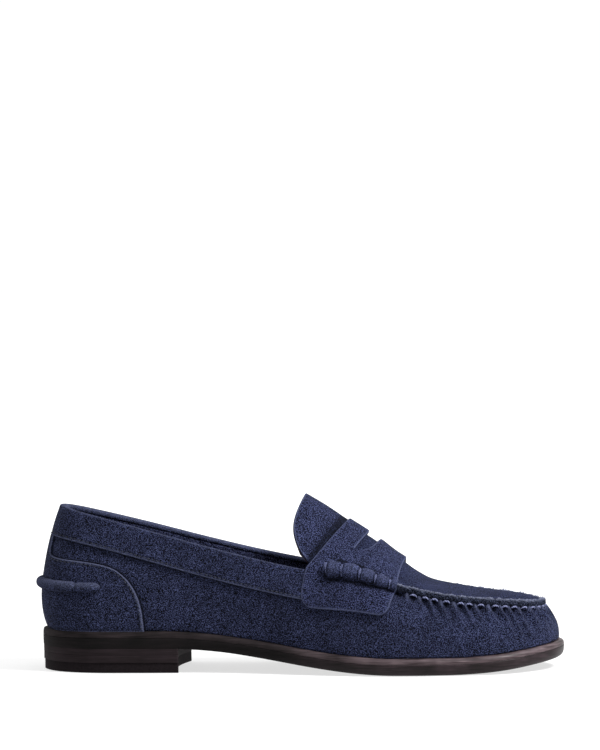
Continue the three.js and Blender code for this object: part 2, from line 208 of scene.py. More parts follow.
def apronFace(t, b):
    # Rows between the two seams, bowed towards the toe and arched up to the crown line.
    t, b = np.broadcast_arrays(np.asarray(t, float), np.asarray(b, float))
    left, right = onRing(topRing, t), onRing(topRing, turn - t)
    point = left + (right - left) * (b[..., None] + 1) / 2
    middle = (left + right) / 2
    bow = apronLook["bow"] * (1 - held((t - 6) / 6)) ** 2
    side = np.minimum(np.abs(b), 1)
    point[..., 0] += bow * (1 - side ** 1.7)
    rise = through(crownLine, middle[..., 0] + bow) - middle[..., 2]
    point[..., 2] += rise * (1 - side ** (1.8 + 0.1 * (t - 6)))
    return point


def overFace(t, c):
    # The apron for c within -1 and 1, and beyond it the wall, down to the feather line at 2.
    t, c = np.broadcast_arrays(np.asarray(t, float), np.asarray(c, float))
    side = np.where(c < 0, t, turn - t)
    onWall = wall(side, 2 - np.maximum(np.abs(c), 1))
    return np.where((np.abs(c) <= 1)[..., None], apronFace(t, c), onWall)


def normals(face, a, b, stepB=0.01):
    # Square to the face's two directions, each taken between two near points.
    along = face(a + 0.02, b) - face(a - 0.02, b)
    across = face(a, b + stepB) - face(a, b - stepB)
    return unit(np.cross(along, across))


def wallFrame(i, v):
    return wall(i, v), normals(wall, i, v)


def circle(count):
    return np.linspace(0, 2 * math.pi, count, endpoint=False)


def swept(centre, first, second, x, y):
    # A loop of points about each centre: x along its first direction and y along its second.
    return (centre[:, None] + first[:, None] * np.atleast_2d(x)[..., None]
            + second[:, None] * np.atleast_2d(y)[..., None])


def alongLine(x):
    # Points on a straight line, for noise that changes in one direction only.
    return np.stack([x, 0 * x, 0 * x], -1)


def softNoise(points, size, seed):
    # A sum of sine waves of about the given wavelength in random directions, roughly -1 to 1.
    source = np.random.default_rng(seed)
    total = np.zeros(points.shape[:-1])
    for wave in range(8):
        direction = unit(source.normal(size=3)) * 2 * math.pi / (size * source.uniform(0.6, 1.6))
        total += np.sin(points @ direction + source.uniform(0, 2 * math.pi))
    return total / 3


# Distance along the seam from the toe's tip, by station.
seamStations = np.linspace(0, turn, 2601)
seamLine = onRing(topRing, seamStations)
seamRun = np.r_[0, np.cumsum(np.linalg.norm(np.diff(seamLine, axis=0), axis=1))]
seamRun -= np.interp(halfTurn, seamStations, seamRun)


def runAt(i):
    return np.interp(i, seamStations, seamRun)


def stationAt(run):
    return np.interp(run, seamRun, seamStations)


def makePiece(name, points, quads, materials, slot="suede", body="shoe", replaces=(), slots=None, wearLightAndShade=None):
    # A welded mesh in metres with its materials, its body and the CAD nodes it stands for; its slot is not
    # used.
    mesh = bpy.data.meshes.new(name)
    mesh.from_pydata(((points.reshape(-1, 3) + shift) / 1000).tolist(), [], quads)
    # The point attribute holds pale raw edges and rubbed nap, painted highlights and painted shade.
    if wearLightAndShade is not None:
        layer = mesh.attributes.new("edgeWearLightAndShade", "FLOAT", "POINT")
        layer.data.foreach_set("value", wearLightAndShade.ravel().astype(np.float32))
    if slots is not None:
        mesh.polygons.foreach_set("material_index", slots)
    piece = bpy.data.objects.new(name, mesh)
    bpy.context.scene.collection.objects.link(piece)
    for material in materials if isinstance(materials, list) else [materials]:
        mesh.materials.append(material)
    solid = bmesh.new()
    solid.from_mesh(mesh)
    bmesh.ops.remove_doubles(solid, verts=solid.verts, dist=2e-6)
    bmesh.ops.dissolve_degenerate(solid, dist=1e-7, edges=solid.edges)
    bmesh.ops.recalc_face_normals(solid, faces=solid.faces)
    solid.to_mesh(mesh)
    solid.free()
    mesh.shade_smooth()
    if body:
        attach(piece, body)
    if replaces:
        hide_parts(*replaces)
    return piece


def gridQuads(rows, columns, start=0, ringRows=False, ringColumns=False):
    # Corner numbers of the cells of a rows-by-columns grid, closed on itself where it is a ring.
    r = np.arange(rows if ringRows else rows - 1)[:, None]
    c = np.arange(columns if ringColumns else columns - 1)[None, :]
    corner = lambda dr, dc: start + ((r + dr) % rows) * columns + (c + dc) % columns
    return np.stack([corner(0, 0), corner(1, 0), corner(1, 1), corner(0, 1)], -1)


def sheetPiece(name, outer, inner, materials, ring=False, hole=None, wearLightAndShade=None, **more):
    # Two faces of a sheet on one grid, joined round every free edge; cells marked in hole are left out.
    rows, columns = outer.shape[:2]
    count = rows * columns
    top = gridQuads(rows, columns, 0, ring)
    keep = np.ones(top.shape[:2], bool) if hole is None else ~hole
    quads = top[keep].tolist() + (top[keep][:, ::-1] + count).tolist()
    rim = []
    for axis, step, (p, q) in ((0, 1, (1, 2)), (0, -1, (3, 0)), (1, 1, (2, 3)), (1, -1, (0, 1))):
        above = np.roll(keep, -step, axis)
        if not (axis == 0 and ring):
            edge = -1 if step == 1 else 0
            above[(edge, slice(None)) if axis == 0 else (slice(None), edge)] = False
        border = keep & ~above
        a, b = top[border][:, p], top[border][:, q]
        rim += np.stack([b, a, a + count, b + count], 1).tolist()
    points = np.concatenate([outer.reshape(-1, 3), inner.reshape(-1, 3)])
    both = None if wearLightAndShade is None else np.concatenate([wearLightAndShade.ravel(), wearLightAndShade.ravel()])
    return makePiece(name, points, quads + rim, materials, wearLightAndShade=both, **more)


def tubePiece(name, loops, materials, wearLightAndShade=None, **more):
    # Loops of points along a path; the two ends are closed by fans.
    rows, columns = loops.shape[:2]
    points = np.concatenate([loops.reshape(-1, 3), [loops[0].mean(0), loops[-1].mean(0)]])
    quads = gridQuads(rows, columns, 0, False, True).reshape(-1, 4).tolist()
    for end, first in ((0, 0), (1, (rows - 1) * columns)):
        a = first + np.arange(columns)
        b = first + (np.arange(columns) + 1) % columns
        centre = np.full(columns, rows * columns + end)
        quads += (np.stack([b, a, centre], 1) if end == 0 else np.stack([a, b, centre], 1)).tolist()
    if wearLightAndShade is not None:
        wearLightAndShade = np.r_[wearLightAndShade.ravel(), 0, 0]
    return makePiece(name, points, quads, materials, wearLightAndShade=wearLightAndShade, **more)


def borderSteps(width, count, round_=1.0):
    # Places across a strip of that width, closer together at both borders, as parts from 0 to 1.
    near = np.array([0, 0.06, 0.22, 0.48, 0.8, 1.2]) * round_ / width
    return np.r_[near, np.linspace(near[-1], 1 - near[-1], count)[1:-1], 1 - near[::-1]]


def rounding(distance, radius):
    # Quarter-circle edge: 0 at the border, 1 a radius away from it.
    return np.sqrt(1 - (1 - held(distance / radius)) ** 2)


def wearAndShadeOf(distance, seam=0.0):
    # A pale raw edge half a millimetre wide, painted shadow outside it, and painted shade in a faint furrow
    # at its stitching.
    return np.interp(distance, [-0.95, -0.3, -0.02, 0.12, 0.42, 0.8, 1.1, 1.5, 2.2],
                     [-0.2, -1, -0.9, 0.75, 1, 0.25, -0.5 * seam, -0.5 * seam, 0])


def threadPiece(name, starts, alongs, lifts, sizes, material):
    # One bent capsule for each stitch: its ends dive along the lift, its middle sags by a parabola.
    rings, sides = 9, 8
    s = np.linspace(-1, 1, rings)
    angle = circle(sides)
    radius = sizes["radius"] * np.sqrt(np.clip(1 - np.abs(s) ** 6, 0.04, 1))
    across = unit(np.cross(alongs, lifts))
    centre = (starts[:, None] + alongs[:, None] * (s * sizes["length"] / 2)[None, :, None]
              + lifts[:, None] * (-sizes["dive"] * s ** 4)[None, :, None]
              + across[:, None] * (sizes.get("sag", 0) * (1 - s ** 2))[None, :, None])
    ring = across[:, None] * np.cos(angle)[None, :, None] + lifts[:, None] * np.sin(angle)[None, :, None]
    points = centre[:, :, None] + ring[:, None] * radius[None, :, None, None]
    threadStrands(name, list(points), material)


def threadStrands(name, strands, material):
    # Several strands in one piece, each of them loops of points with flat ends.
    quads = []
    for k, strand in enumerate(strands):
        rows, columns = strand.shape[:2]
        first = k * rows * columns
        last = first + (rows - 1) * columns
        quads += gridQuads(rows, columns, first, False, True).reshape(-1, 4).tolist()
        quads += [list(range(first, first + columns))[::-1], list(range(last, last + columns))]
    makePiece(name, np.stack(strands), quads, material)


def stitchPath(path, up, pitch, inset=0.0, lift=0.0):
    # Stitch places at an even pitch along a path on a surface, moved sideways by inset and up by lift.
    run = np.r_[0, np.cumsum(np.linalg.norm(np.diff(path, axis=0), axis=1))]
    at = np.arange(pitch / 2, run[-1], pitch)
    read = lambda values: np.stack([np.interp(at, run, values[:, k]) for k in range(3)], 1)
    tangent = unit(np.gradient(path, axis=0))
    place, along, normal = read(path), unit(read(tangent)), unit(read(up))
    side = unit(np.cross(normal, along))
    return place + side * inset + normal * lift, along, normal


def linear(hexColour):
    # An sRGB hex colour as the linear one that a shader takes.
    channels = [int(hexColour[k:k + 2], 16) / 255 for k in (1, 3, 5)]
    return (*[c / 12.92 if c <= 0.04045 else ((c + 0.055) / 1.055) ** 2.4 for c in channels], 1.0)


def addNode(tree, kind, inputs=None, **settings):
    # Adds a node, sets its properties, and fills or links its inputs.
    made = tree.nodes.new(kind)
    for key, value in settings.items():
        setattr(made, key, value)
    for key, value in (inputs or {}).items():
        if isinstance(value, bpy.types.NodeSocket):
            tree.links.new(value, made.inputs[key])
        else:
            made.inputs[key].default_value = value
    return made


def remap(tree, value, before, after):
    # A straight line from one range to the other, held at its ends.
    return addNode(tree, "ShaderNodeMapRange", {
        "Value": value, "From Min": before[0], "From Max": before[1], "To Min": after[0], "To Max": after[1],
    }).outputs["Result"]


def ramp(tree, value, *stops):
    made = addNode(tree, "ShaderNodeValToRGB", {"Fac": value})
    elements = made.color_ramp.elements
    while len(elements) < len(stops):
        elements.new(0.5)
    for element, (position, colour) in zip(elements, stops):
        element.position, element.color = position, linear(colour)
    return made.outputs["Color"]


def noise(tree, place, millimetres, detail, **more):
    # Soft noise whose lumps are that far apart: its scale is waves to the metre.
    return addNode(tree, "ShaderNodeTexNoise", {
        "Vector": place, "Scale": 1000 / millimetres, "Detail": detail, **more}).outputs["Fac"]


def times(tree, colour, factor):
    return addNode(tree, "ShaderNodeVectorMath", {0: colour, 1: factor}, operation="MULTIPLY").outputs[0]


def mix(tree, factor, a, b, **settings):
    return addNode(tree, "ShaderNodeMix", {"Factor": factor, "A": a, "B": b}, data_type="RGBA", **settings,
                   ).outputs["Result"]


def startMaterial(name, shader):
    material = bpy.data.materials.new(name)
    material.use_nodes = True
    tree = material.node_tree
    tree.nodes.clear()
    surface = addNode(tree, "ShaderNodeBsdfPrincipled", shader)
    addNode(tree, "ShaderNodeOutputMaterial", {"Surface": surface.outputs[0]})
    return material, tree, surface, addNode(tree, "ShaderNodeTexCoord").outputs["Object"]


def dress(tree, surface, colour, height, depth, strength):
    # Links the colour, and a relief of that depth in metres.
    relief = addNode(tree, "ShaderNodeBump", {"Height": height, "Distance": depth, "Strength": strength})
    tree.links.new(colour, surface.inputs["Base Color"])
    tree.links.new(relief.outputs["Normal"], surface.inputs["Normal"])


nap = {
    "tuft": 0.35,         # mm, a tuft of nap, drawn coarser than the real 0.2 mm, which would not show
    "blotch": 13,         # mm, patches where the nap lies another way
    "depth": 0.0004,      # m, height of the tufts
}


def brushedSuede(name, dark, body, light, glint, paleEdgeAndHighlight):
    # Split cowhide, buffed to a nap: no gloss, a faint sheen at grazing angles, pale specks where tufts catch
    # the light over dark roots, paler raw edges and painted highlights (attribute above 0) and painted shade
    # (attribute below 0).
    material, tree, surface, place = startMaterial(name, {
        "Roughness": 1.0, "Specular IOR Level": 0.08, "Sheen Weight": 0.05, "Sheen Roughness": 0.5,
        "Sheen Tint": linear("#7f8cc0"),
    })
    tufts = noise(tree, place, nap["tuft"], 0.0)
    patches = noise(tree, place, nap["blotch"], 3.0, Roughness=0.6)
    tuftColour = ramp(tree, tufts, (0.42, dark), (0.5, body), (0.55, light), (0.6, glint))
    toned = times(tree, tuftColour, remap(tree, patches, (0.3, 0.7), (0.8, 1.2)))
    edgeWearLightAndShade = addNode(tree, "ShaderNodeAttribute", attribute_name="edgeWearLightAndShade").outputs["Fac"]
    patchy = remap(tree, tufts, (0.3, 0.6), (0.45, 1.0))
    # Above 0 the point attribute mixes in the pale edge colour: raw edges, and painted highlights.
    wearLightShadeAmount = addNode(tree, "ShaderNodeMath", {0: edgeWearLightAndShade, 1: patchy}, operation="MULTIPLY").outputs[0]
    # Below 0 it darkens towards the darkest tuft colour: painted shade in creases and under edges.
    shadedInCreases = mix(tree, remap(tree, edgeWearLightAndShade, (0.0, -1.0), (0.0, 0.9)), toned, linear(dark))
    colour = mix(tree, wearLightShadeAmount, shadedInCreases, linear(paleEdgeAndHighlight), clamp_factor=True)
    dress(tree, surface, colour, tufts, nap["depth"], 0.9)
    return material


def waxedThread(name, dark, light):
    # Twisted linen thread drawn through wax: slightly shiny, with a fine slanted twist.
    material, tree, surface, place = startMaterial(name, {"Roughness": 0.6, "Specular IOR Level": 0.4})
    twist = addNode(tree, "ShaderNodeTexWave", {"Vector": place, "Scale": 1000 / 2.2, "Distortion": 1.5},
                    bands_direction="DIAGONAL").outputs["Fac"]
    dress(tree, surface, ramp(tree, twist, (0.2, dark), (0.8, light)), twist, 0.00015, 0.6)
    return material


def burnishedEdge(name, dark, light, roughness):
    # Sole leather edge, inked, waxed and hot-burnished: dark, with a low shine and faint lines along it.
    # The colour is darker and the finish rougher over the heel and waist than on the forepart, by x in
    # metres.
    material, tree, surface, place = startMaterial(name, {"Specular IOR Level": 0.14})
    along = addNode(tree, "ShaderNodeSeparateXYZ", {0: place}).outputs["X"]
    forepart = remap(tree, along, (-0.01, 0.05), (0.2, 1.0))
    squeeze = addNode(tree, "ShaderNodeMapping", {"Vector": place, "Scale": (0.06, 0.06, 1.0)}).outputs[0]
    layers = noise(tree, squeeze, 0.7, 3.0)
    clouds = noise(tree, place, 14, 3.0)
    mixed = addNode(tree, "ShaderNodeMath", {0: layers, 1: clouds}, operation="MULTIPLY").outputs[0]
    inked = times(tree, ramp(tree, mixed, (0.12, dark), (0.42, light)), forepart)
    tree.links.new(remap(tree, forepart, (0.2, 1.0), (0.8, roughness)), surface.inputs["Roughness"])
    dress(tree, surface, inked, layers, 0.00012, 0.5)
    return material


def grainLeather(name, dark, light, grain, roughness=0.55):
    # Tanned hide with its grain kept: small cells with fine valleys, a low shine, clouded dye.
    material, tree, surface, place = startMaterial(name, {"Roughness": roughness, "Specular IOR Level": 0.35})
    cells = addNode(tree, "ShaderNodeTexVoronoi", {"Vector": place, "Scale": 1000 / grain},
                    feature="DISTANCE_TO_EDGE").outputs["Distance"]
    clouds = noise(tree, place, 9, 4.0)
    valley = remap(tree, cells, (0.0, 0.12), (0.0, 1.0))
    dress(tree, surface, ramp(tree, clouds, (0.3, dark), (0.72, light)), valley, 0.00012, 0.7)
    return material


def speckled(name, dark, light, size, roughness, depth=0.0001, metallic=0.0, stretch=(1, 1, 1), gloss=0.4):
    # Anything with an even grain of one size: moulded rubber, pressed fibre, cork, foam, drawn or rolled
    # metal, whose grain is stretched.
    material, tree, surface, place = startMaterial(name, {
        "Roughness": roughness, "Metallic": metallic, "Specular IOR Level": gloss})
    turned = addNode(tree, "ShaderNodeMapping", {"Vector": place, "Scale": stretch}).outputs[0]
    grain = noise(tree, turned, size, 4.0)
    dress(tree, surface, ramp(tree, grain, (0.35, dark), (0.65, light)), grain, depth, 0.5)
    return material


# The strap and tongue suede is a copy with a darker body: painted shade against the light from above.
strapSuede = brushedSuede("navySuedeDarkenedForTopLight", "#010205", "#03040b", "#0a0c1e", "#404669", "#4d5370")
wallSuede = brushedSuede("navySuedeBase", "#010205", "#04050c", "#0c0e21", "#3b4160", "#51566e")
# A paler copy of the wall suede for the collar's inside: painted light where the lamps reach little.
facingSuede = brushedSuede("navySuedeLightenedInside", "#0a0c18", "#171b30", "#2c3250", "#5d648c", "#565d7c")
# The apron suede is a copy with dimmer specks: painted shade for the apron seen at a grazing angle.
apronSuede = brushedSuede("navySuedeDimmedApron", "#020306", "#060814", "#11142a", "#333957", "#3b4158")
seamSuede = brushedSuede("navySuedeRawEdge", "#010206", "#060811", "#131626", "#3d4358", "#757a90")
seamThread = waxedThread("waxedNavyThread", "#343958", "#787ea4")
wrapThread = waxedThread("waxedWrapThread", "#232843", "#525a84")
fineThread = waxedThread("fineNavyThread", "#11141f", "#262b3d")
soleEdgeInk = burnishedEdge("burnishedSoleEdge", "#0e0b0b", "#30262a", 0.42)
weltEdgeInk = burnishedEdge("burnishedWeltEdge", "#1c1516", "#5d5054", 0.42)
heelStack = burnishedEdge("burnishedHeelStack", "#362a2e", "#52434a", 0.5)
soleBottom = grainLeather("waxedOutsoleLeather", "#1c1310", "#2c1f1a", 1.4, 0.5)
topPieceRubber = speckled("mouldedHeelRubber", "#141012", "#1c171a", 0.8, 0.8, gloss=0.06)
liningLeather = grainLeather("oxbloodLiningLeather", "#1f0d0b", "#341813", 0.8)
sockLeather = grainLeather("sockLeather", "#2c1410", "#402019", 1.0, 0.6)
print("materials made")

seamHand = {"pitch": 5.7, "front": 8.05, "jitter": 0.16}
stitchCount = int(abs(runAt(seamHand["front"])) / seamHand["pitch"])
jitterSource = np.random.default_rng(11)
stitchRuns = (np.arange(-stitchCount, stitchCount + 1) * seamHand["pitch"]
              + jitterSource.uniform(-1, 1, 2 * stitchCount + 1) * seamHand["jitter"] * seamHand["pitch"])


def gather(run):
    # Fullness between hand stitches: -1 at a stitch, +1 midway to the next one.
    phase = np.interp(run, stitchRuns, np.arange(len(stitchRuns)), left=0, right=len(stitchRuns) - 1)
    inside = (run > stitchRuns[0] - 3) & (run < stitchRuns[-1] + 3)
    return np.where(inside, -np.cos(2 * math.pi * phase), 0)


wallLook = {
    "thick": 1.4, "foot": 12,
    "pucker": 1.3, "reach": 7.5, "slant": 0.05,                        # the gathers
    "fold": 0.6, "foldSlant": 0.28,                                    # longer folds at the toe
    "creases": [(27, 1.5, 0.8), (41, 1.7, 0.56)],                      # back from the tip, width, depth
    "wave": 0.22,
    "dense": 7.8, "cut": 5.9,     # stations: closer columns from here on, and a full height from here on
}


def wallGather(i, v):
    # Distance along the seam and down from it, and the gather there, which slants back on its way down.
    run = runAt(i)
    down = (1 - v) * (topHeight(i) - wallLook["foot"])
    return run, down, gather(run + wallLook["slant"] * down * np.sign(run))


def wallRelief(i, v, points):
    # Gathers that fade down from the seam by a bell curve, longer slanting folds and two creases at the toe,
    # and a soft unevenness that is stronger forward of the heel.
    run, down, gathered = wallGather(i, v)
    reach = wallLook["reach"] * (1 + 0.45 * softNoise(alongLine(run), 17, 3))
    puff = 2 * (0.5 + 0.5 * gathered) ** 1.5 - 1.0
    relief = wallLook["pucker"] * puff * hump(down / reach)
    slant = run + wallLook["foldSlant"] * down * np.sign(run)
    folds = softNoise(np.stack([slant, down * 0.25, 0 * run], -1), 9, 21)
    front = smoothStep((np.minimum(i, turn - i) - 8) / 2)
    relief += front * wallLook["fold"] * folds * hump((down - 6) / 7)
    for back, width, depth in wallLook["creases"]:
        relief -= front * depth * hump((slant + back) / width) * hump((down - 5) / 5)
    waist = smoothStep((points[..., 0] - 60) / 60)
    return relief + wallLook["wave"] * (0.5 + waist) * softNoise(points, 34, 5)


def wallPiece():
    # One ring round the whole shoe: lower behind the strap, where the collar covers its top edge.
    dense = wallLook["dense"]
    side = np.linspace(0, dense, 170)
    i = np.r_[side, np.linspace(dense, turn - dense, 430)[1:], turn - side[::-1][1:-1]]
    top = np.where(np.minimum(i, turn - i) > wallLook["cut"], 0.985, wallAt(i, topHeight(i) - 2.4))
    v = 0.004 + (top[:, None] - 0.004) * np.linspace(0, 1, 44)[None, :]
    i = np.broadcast_to(i[:, None], v.shape)
    points, normal = wallFrame(i, v)
    outer = points + normal * wallRelief(i, v, points)[..., None]
    # Paler on the gathers' crowns, rubbed nap with a painted highlight, and painted shade in the nips beneath
    # the stitches.
    _, down, high = wallGather(i, v)
    wearLightShadeAmount = 0.6 * held(high) ** 2 * hump((down - 1.2) / 1.6)
    wearLightShadeAmount -= 0.9 * held(-high) ** 2 * hump(down / 2.6)
    return sheetPiece("moccasin_wall_suede", outer, points - normal * wallLook["thick"], wallSuede, ring=True,
                      wearLightAndShade=wearLightShadeAmount, replaces=["moccasin_wall"])


def apronPiece():
    # The plug over the toes: it stops just short of the seam and swells a little between the stitches.
    t = np.linspace(apronLook["first"], apronLook["last"], 150)[:, None]
    width = np.linalg.norm(onRing(topRing, t[:, 0]) - onRing(topRing, turn - t[:, 0]), axis=1)[:, None] / 2
    reach = 1 - 0.25 / width
    even = np.linspace(-1, 1, 90)
    b = np.sign(even) * np.abs(even) ** 0.9 * reach
    t = np.broadcast_to(t, b.shape)
    points = apronFace(t, b)
    normal = normals(apronFace, t, b)
    near = (1 - np.abs(b)) * width
    run = runAt(np.where(b < 0, t, turn - t))
    front = smoothStep((t - 8) / 1.2)
    relief = front * 0.35 * gather(run) * hump(near / 2.6) + 0.2 * softNoise(points, 30, 8)
    outer = points + normal * relief[..., None]
    return sheetPiece("apron_suede", outer, points - normal * apronLook["thick"], apronSuede,
                      replaces=["apron"])


lip = {"thick": 0.9, "tall": 1.9, "out": 0.55, "up": 1.65, "farSide": -0.9}


def seamLip():
    # An upright lip of two raw edges: a flattened ring swept along the seam, nipped in at every stitch.
    i = np.linspace(seamHand["front"] - 0.1, turn - seamHand["front"] + 0.1, 760)
    angle = circle(26)[None, :]
    base, out = onRing(topRing, i)[:, None], outward(i)[:, None]
    swell = gather(runAt(i))[:, None]
    across = lip["thick"] * (1 + 0.16 * swell) * np.sign(np.cos(angle)) * np.abs(np.cos(angle)) ** 0.8
    tall = lip["tall"] * np.sin(angle)
    upright = np.array([0, 0, 1])
    ragged = softNoise(base + 3 * out * across[..., None] + upright * tall[..., None], 1.5, 13)
    raw = held(np.sin(angle))
    groove = 0.5 * hump(across / 0.32) * raw ** 4
    far = lip["farSide"] * smoothStep((i[:, None] - halfTurn + 0.6) / 1.2)
    height = tall + lip["up"] + far - groove + 0.5 * ragged * raw ** 2 + 0.06 * swell
    lean = lip["out"] + across + 0.13 * (tall + 1) + 0.28 * ragged
    loops = base + out * lean[..., None] + upright * height[..., None]
    # Pale raw edges along the top, and painted shade on the lip's underside.
    wearLightAndShade = held(raw ** 1.6 * (0.8 + 0.8 * ragged) - 0.15) - 0.9 * held(-np.sin(angle))
    return tubePiece("seam_lip", loops, seamSuede, replaces=["seam_ridge"], slot="suede", wearLightAndShade=wearLightAndShade)


def seamStitches():
    # A dash of thread in each nip on the wall side, and one on the apron side between them.
    for name, offset, out, up, length in (("seam_thread_outer", 0, 1.75, -0.75, 3.9),
                                          ("seam_thread_inner", 0.5, -1.0, 0.5, 3.4)):
        runs = stitchRuns[1:-1] + offset * seamHand["pitch"]
        i = stationAt(runs)
        side = outward(i)
        along = unit(onRing(topRing, i + 0.03) - onRing(topRing, i - 0.03))
        lift = unit(side * np.sign(out) + np.array([0, 0, 0.25]))
        lift = unit(lift - along * (lift * along).sum(1, keepdims=True))
        place = onRing(topRing, i) + side * out + np.array([0, 0, up])
        sizes = {"length": length, "radius": 0.46, "dive": 0.9, "sag": -0.7}
        threadPiece(name, place, along, lift, sizes, seamThread)


strapLook = {
    "end": 1.46, "thick": 2.0, "lift": 0.35, "corner": 0.16,
    "slotRear": 0.36, "slotHalf": 0.6, "slotTip": 0.012, "slotTall": 0.17,    # parts of the strap's own grid
    "stationLong": 24, "rowsLong": 40, "apronHalf": 30, "wallTall": 38,       # the grid's units, in mm
}
roll = {"rear": 6.36, "front": 7.94, "radius": 3.9, "wraps": [0.06, 0.26, 0.49, 0.7, 0.9], "thread": 0.34}
rollStart, rollEnd = runAt(roll["rear"]), runAt(roll["front"])
rollWraps = [rollStart + f * (rollEnd - rollStart) for f in roll["wraps"]]


def strapEdges(c):
    # Stations of the strap's rear and front edges: the corners are quarter ellipses at the strap's ends.
    side = np.abs(c)
    beyond = held((side - 1) / (strapLook["end"] - 1))
    rear = 6 - 0.13 * beyond
    front = np.where(side < 1, 7.6 + 0.36 * side ** 2, 7.96 - 0.3 * beyond)
    into = held((side - strapLook["end"] + strapLook["corner"]) / strapLook["corner"])
    turnIn = 1 - np.sqrt(held(1 - into ** 2))
    return rear + 0.26 * turnIn, front - 0.2 * turnIn


def rollPinch(run, c):
    # How far the thread wraps of the beef roll draw the strap in around them.
    pulled = sum(hump((run - place) / 1.6) for place in rollWraps)
    return pulled * hump((np.abs(np.abs(c) - 1) - 0.1) / 0.07)


def saddleStrap():
    # The strap's own grid: c across the shoe, closer at the ends and the slot's tips, row from rear to front.
    c = np.r_[-strapLook["end"] + np.array([0, 0.002, 0.006, 0.012, 0.02, 0.03]),
              np.linspace(-strapLook["end"] + 0.042, -0.63, 86), np.linspace(-0.62, -0.52, 23),
              np.linspace(-0.51, 0, 40)]
    c = np.r_[c, -c[::-1][1:]][:, None]
    slotOval = np.sqrt(held(1 - (np.abs(c) / strapLook["slotHalf"]) ** 4))
    slotTall = strapLook["slotTip"] + strapLook["slotTall"] * slotOval
    rearPart = strapLook["slotRear"] * borderSteps(16, 12, 1.1)
    middle = strapLook["slotRear"] + slotTall * np.linspace(0, 1, 4)[1:-1]
    frontStart = strapLook["slotRear"] + slotTall
    frontPart = frontStart + (1 - frontStart) * borderSteps(20, 14, 1.1)
    row = np.concatenate([np.broadcast_to(rearPart, (len(c), len(rearPart))), middle, frontPart], 1)
    c = np.broadcast_to(c, row.shape)
    rear, front = strapEdges(c)
    t = rear + (front - rear) * row
    points, normal = overFace(t, c), normals(overFace, t, c, stepB=0.03)
    # How far each point is from the nearest edge, in millimetres.
    lengthways = (front - rear) * strapLook["stationLong"]
    toSlot = np.minimum(np.abs(row - strapLook["slotRear"]), np.abs(row - frontStart))
    fromSlot = np.where(np.abs(c) < strapLook["slotHalf"], toSlot * strapLook["rowsLong"], 9)
    fromEnd = (strapLook["end"] - np.abs(c)) * strapLook["wallTall"]
    distance = np.minimum.reduce([row * lengthways, (1 - row) * lengthways, fromEnd, fromSlot])
    run = runAt(t)
    relief = (0.16 * softNoise(points, 14, 17) - 0.5 * rollPinch(run, c)) * rounding(distance, 3)
    aside = np.abs(np.abs(c) - 1) * np.where(np.abs(c) > 1, strapLook["wallTall"], strapLook["apronHalf"])
    # Painted shadow on the strap along the foot of the beef roll.
    shadowBesideRoll = (run > rollStart - 0.5) * hump((aside - 1.05 * rollRadius(run)) / 0.9)
    lift = strapLook["lift"] + strapLook["thick"] * (0.35 + 0.65 * rounding(distance, 1.0)) + relief
    hole = np.zeros((c.shape[0] - 1, c.shape[1] - 1), bool)
    first = len(rearPart) - 1
    nearSlot = np.abs(c[:, 0]) < strapLook["slotHalf"] + 0.004
    hole[nearSlot[:-1] & nearSlot[1:], first:first + 3] = True
    return sheetPiece("saddle_strap_suede", points + normal * lift[..., None],
                      points + normal * strapLook["lift"], strapSuede, hole=hole,
                      wearLightAndShade=wearAndShadeOf(distance) - shadowBesideRoll, replaces=["saddle_strap"])


def rollFrame(run, side):
    # The roll's middle line on the seam, with its directions: along, out of the surface, and across.
    i = stationAt(run)
    c = side * np.ones_like(i)
    middle = overFace(i, c)
    normal = unit(normals(overFace, i, c, stepB=0.12))
    along = unit(overFace(i + 0.03, c) - overFace(i - 0.03, c))
    return middle, normal, unit(np.cross(along, normal))


def rollRadius(run):
    # Full at the back and slimmer at the front, round at the rear end, nipped at every wrap.
    part = (run - rollStart) / (rollEnd - rollStart)
    taper = roll["radius"] * (1.04 - 0.33 * part)
    end = np.maximum(rounding(run - rollStart, 3.4), 0.02 ** 0.5)
    nip = sum(hump((run - place) / 0.95) for place in rollWraps)
    swell = 0.05 * softNoise(alongLine(run), 5, 31)
    return taper * end * (1 - 0.3 * nip + swell)


